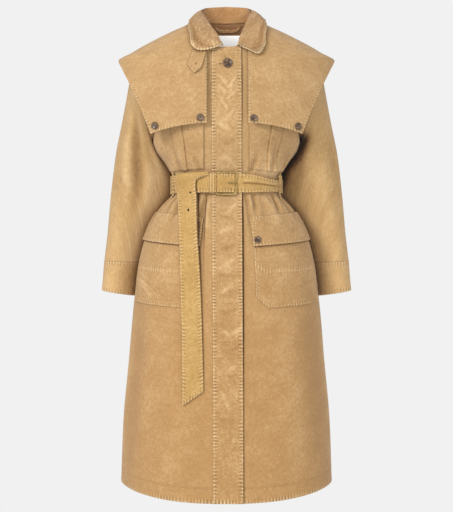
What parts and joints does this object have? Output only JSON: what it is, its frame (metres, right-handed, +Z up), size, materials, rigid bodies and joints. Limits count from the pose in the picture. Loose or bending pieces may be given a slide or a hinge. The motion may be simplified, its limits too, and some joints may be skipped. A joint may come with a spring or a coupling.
{
  "type": "trench coat",
  "caption": "Belted denim trench coat with a winged shoulder cape, round collar, fly front, flap pockets and a buckled belt, filled out as if worn.",
  "frame": {"origin": "between the shoulders at the base of the neck", "axes": "+Z up along the coat, the front faces -Y, the wearer's right is at -X"},
  "size_m": [0.608, 0.4008, 1.1723],
  "materials": {
    "denim": "washed cotton twill, faded at the seams",
    "belt_cloth": "stitched double twill, slightly yellower",
    "buckle": "dull olive",
    "button": "mottled horn",
    "label": "bare woven white"
  },
  "bodies": {
    "root": {"bodice_front_right": "denim", "bodice_front_left": "denim", "bodice_back_right": "denim", "bodice_back_left": "denim", "skirt_front_right": "denim", "skirt_front_left": "denim", "skirt_back_right": "denim", "skirt_back_left": "denim", "upper_sleeve_front_right": "denim", "lower_sleeve_front_right": "denim", "upper_sleeve_back_right": "denim", "lower_sleeve_back_right": "denim", "upper_sleeve_front_left": "denim", "lower_sleeve_front_left": "denim", "upper_sleeve_back_left": "denim", "lower_sleeve_back_left": "denim", "cuff_right": "denim", "cuff_left": "denim", "collar_stand": "denim", "collar_fall": "denim", "throat_tab": "denim", "cape_front_right": "denim", "cape_front_left": "denim", "cape_back": "denim", "placket": "denim", "chest_pocket_right": "denim", "chest_pocket_left": "denim", "hip_pocket_right": "denim", "hip_pocket_left": "denim", "hip_flap_right": "denim", "hip_flap_left": "denim", "hanger_loop": "denim", "neck_label": "label", "belt_strap": "belt_cloth", "belt_tail": "belt_cloth", "belt_keeper": "belt_cloth", "belt_loop_right": "belt_cloth", "belt_loop_left": "belt_cloth", "belt_buckle": "buckle", "belt_prong": "buckle", "neck_button": "button", "cape_button_right_inner": "button", "cape_button_right_outer": "button", "cape_button_left_inner": "button", "cape_button_left_outer": "button", "hip_button_right": "button", "hip_button_left": "button"}
  },
  "joints": []
}
